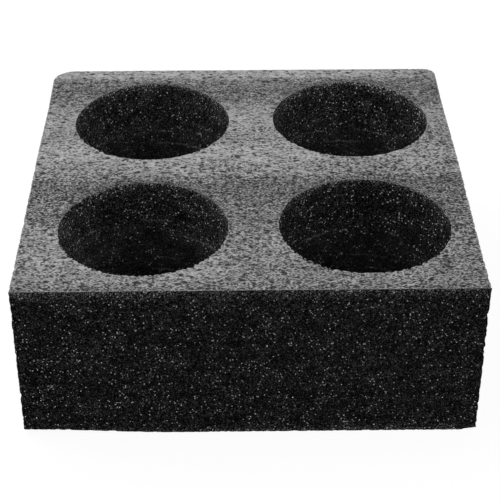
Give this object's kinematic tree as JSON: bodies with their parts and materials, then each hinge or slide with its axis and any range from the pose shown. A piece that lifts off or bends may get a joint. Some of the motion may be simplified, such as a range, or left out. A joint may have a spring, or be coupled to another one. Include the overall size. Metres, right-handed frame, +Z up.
{
  "type": "foam cup holder",
  "caption": "Square block of laminated black packing foam with round blind pockets in a grid, which hold take-away cups upright while they are carried.",
  "frame": {"origin": "middle of the block's underside", "axes": "+Z up, out of the pocket mouths; +X along the width, to the right seen from the front; the front face looks along -Y"},
  "size_m": [0.2, 0.2, 0.0775],
  "materials": {
    "foam": "matte closed-cell polyethylene foam"
  },
  "bodies": {
    "root": {"foam_block": "foam"}
  },
  "joints": []
}
